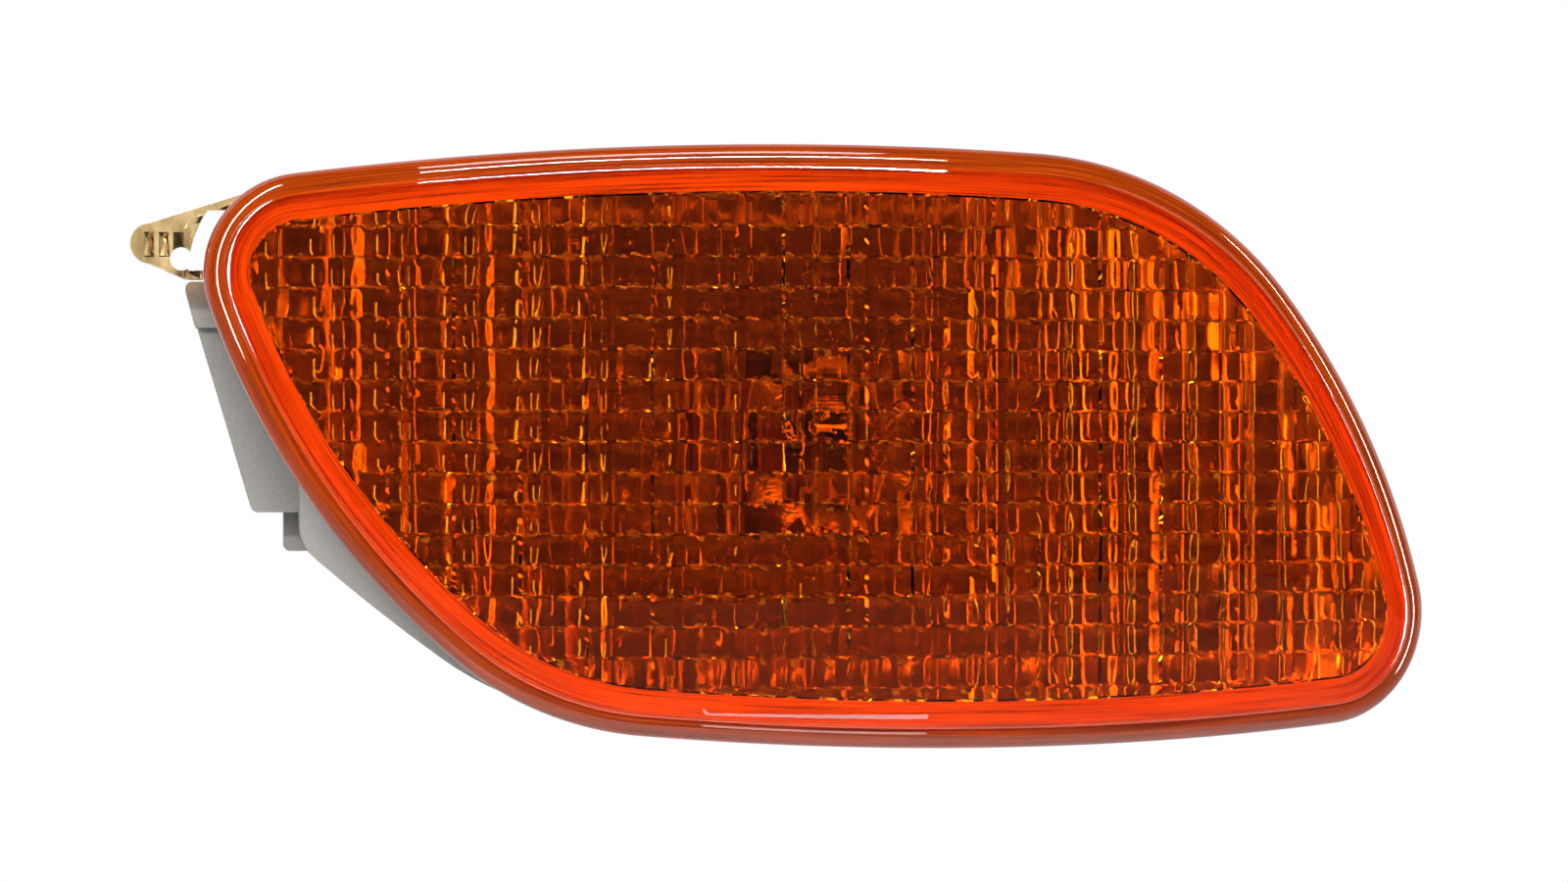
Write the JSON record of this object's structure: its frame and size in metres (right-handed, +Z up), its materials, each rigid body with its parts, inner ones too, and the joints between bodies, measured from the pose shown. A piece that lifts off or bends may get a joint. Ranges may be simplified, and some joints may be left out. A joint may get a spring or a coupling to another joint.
{
  "type": "vehicle indicator lamp",
  "caption": "Amber corner indicator lamp with a domed prism lens, metallised fluted reflector, grey housing with wedge bracket, clear locating ear, bayonet bulb and twist-lock holder.",
  "frame": {"origin": "centre of the mouth of the screw hole in the back face of the wedge bracket", "axes": "+X along the lamp from the bracket towards the other end, to the right in the picture; +Y from the lens towards the back of the lamp; +Z up"},
  "size_m": [0.1941, 0.084, 0.0877],
  "materials": {
    "amber_lens": "moulded clear amber acrylic",
    "metallised": "vacuum-metallised moulded plastic",
    "grey_housing": "moulded, fine matt grain",
    "clear_ear": "moulded clear acrylic with a faint amber tint",
    "black_holder": "moulded, satin",
    "black_rubber": "matt moulded rubber",
    "brass_strip": "stamped strip",
    "clear_glass": "clear blown glass",
    "nickel_wire": "drawn wire",
    "cap_metal": "drawn brass",
    "black_insulator": "fused black vitrite",
    "solder": "soft solder"
  },
  "bodies": {
    "root": {"lens": "amber_lens", "lens_seal": "black_rubber", "reflector": "metallised", "housing": "grey_housing", "locating_ear": "clear_ear", "holder_body": "black_holder", "holder_gasket": "black_rubber", "centre_contact": "brass_strip", "earth_contact": "brass_strip", "breather_cap": "black_rubber", "bulb_glass": "clear_glass", "bulb_stem": "clear_glass", "filament_leads": "nickel_wire", "filament": "nickel_wire", "bulb_cap": "cap_metal", "bayonet_pins": "cap_metal", "cap_insulator": "black_insulator", "cap_contact": "solder"}
  },
  "joints": []
}
